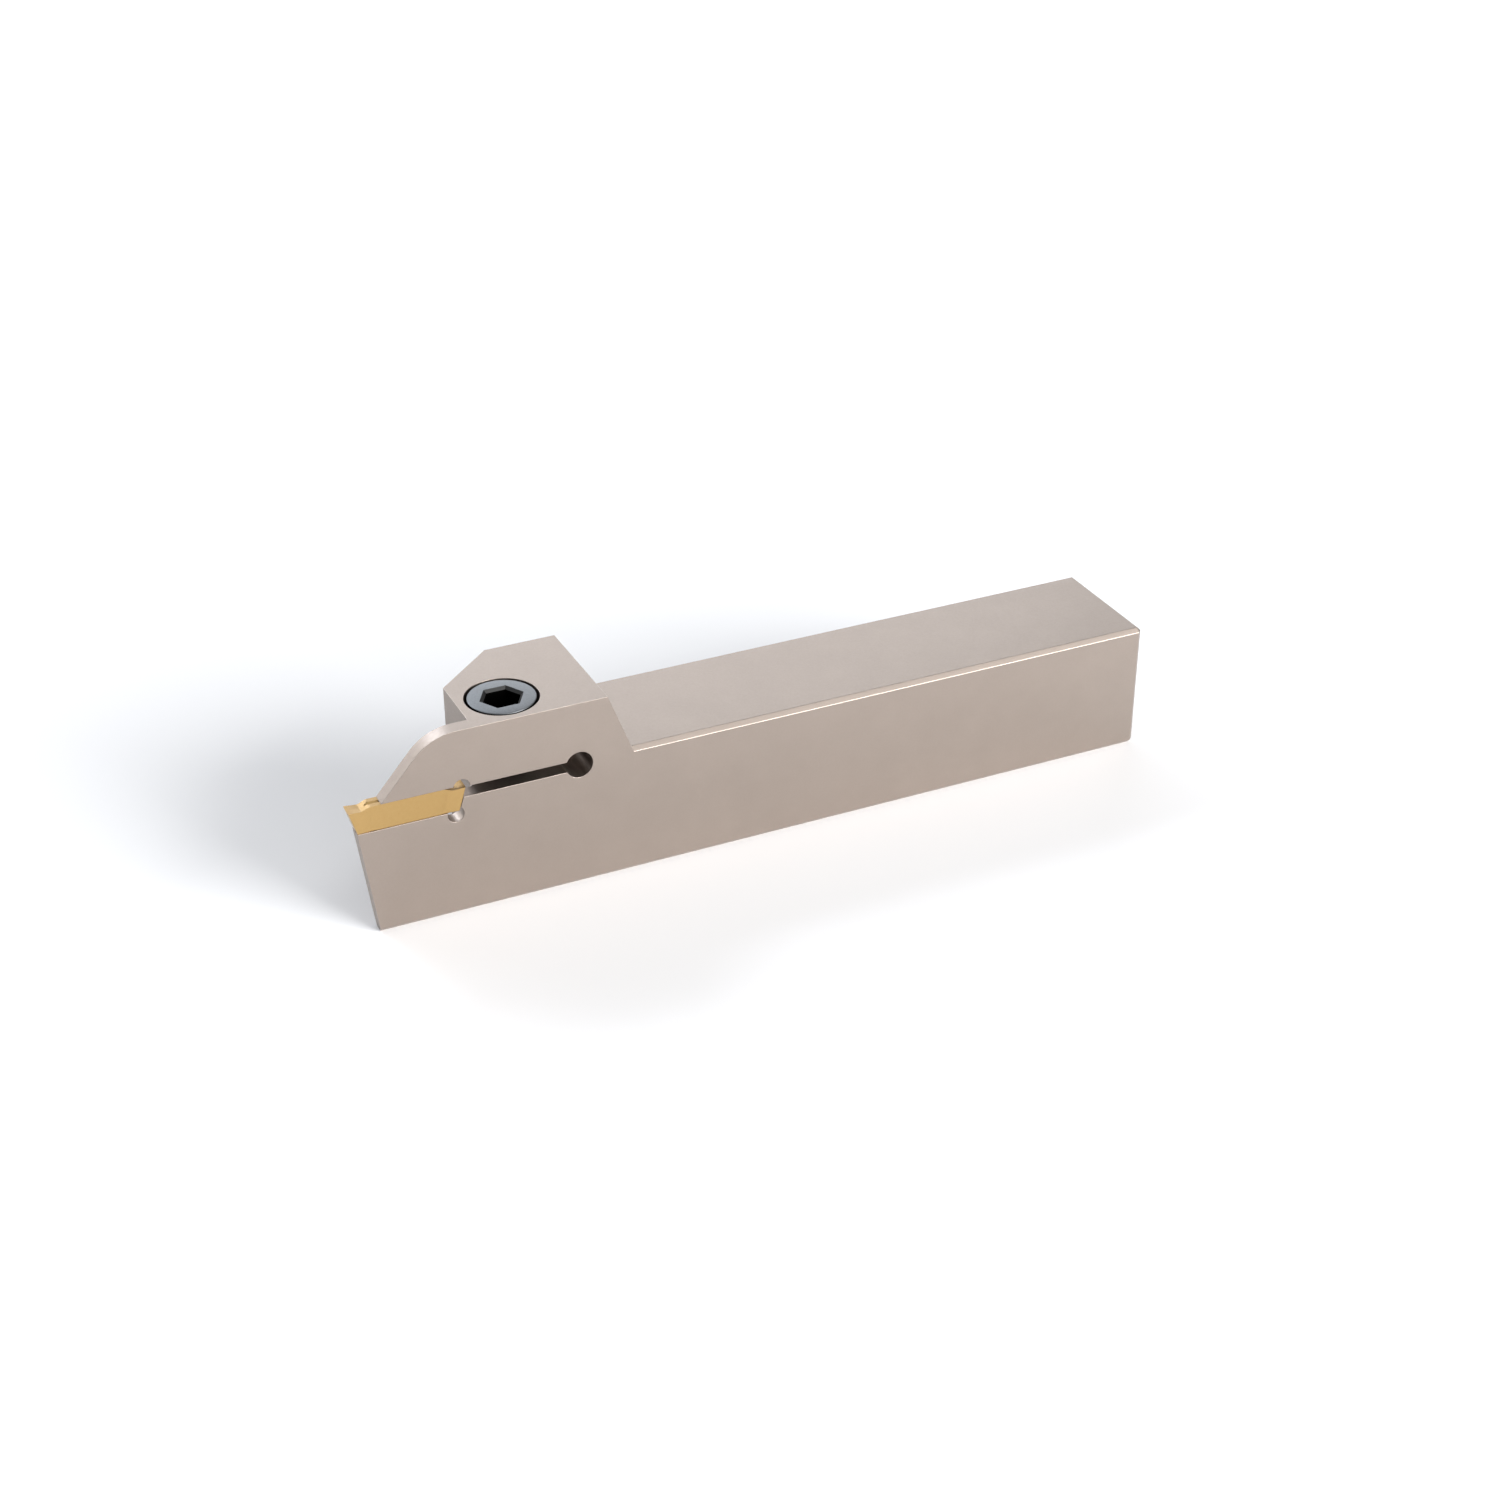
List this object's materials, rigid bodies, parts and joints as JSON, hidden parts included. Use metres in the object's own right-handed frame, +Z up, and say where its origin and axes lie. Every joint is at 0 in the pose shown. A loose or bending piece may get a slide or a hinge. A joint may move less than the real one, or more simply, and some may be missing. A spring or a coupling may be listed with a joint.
{
  "type": "turning tool holder",
  "caption": "Right-hand parting and grooving holder for a lathe: square steel shank, thin blade, and a clamp jaw that a socket screw pulls down on a double-ended insert.",
  "frame": {"origin": "on the underside of the shank, in the middle of its clamped length (back end to the foot of the head) and of its width", "axes": "+X along the shank towards its back end, so the insert points towards -X; +Y from the blade's side to the far side; +Z up, out of the shank's top"},
  "size_m": [0.1561, 0.0251, 0.0362],
  "materials": {
    "plated_steel": "matt nickel-plated tool steel, warm grey",
    "coated_carbide": "ground cemented carbide with a golden titanium nitride coating",
    "screw_steel": "satin alloy steel, cool grey, black in the socket"
  },
  "bodies": {
    "holder": {"holder_body": "plated_steel"},
    "insert": {"cutting_insert": "coated_carbide"},
    "screw": {"clamp_screw": "screw_steel"}
  },
  "joints": [
    {"name": "insert_slide", "type": "slide", "parent": "holder", "child": "insert", "axis": [-1, 0, 0], "range_m": [0, 0.022]},
    {"name": "clamp_screw_turn", "type": "hinge", "parent": "holder", "child": "screw", "pos_m": [-0.07305, -0.00467, 0.0362], "axis": [0, 0, 1], "range_deg": [0, 450]}
  ]
}
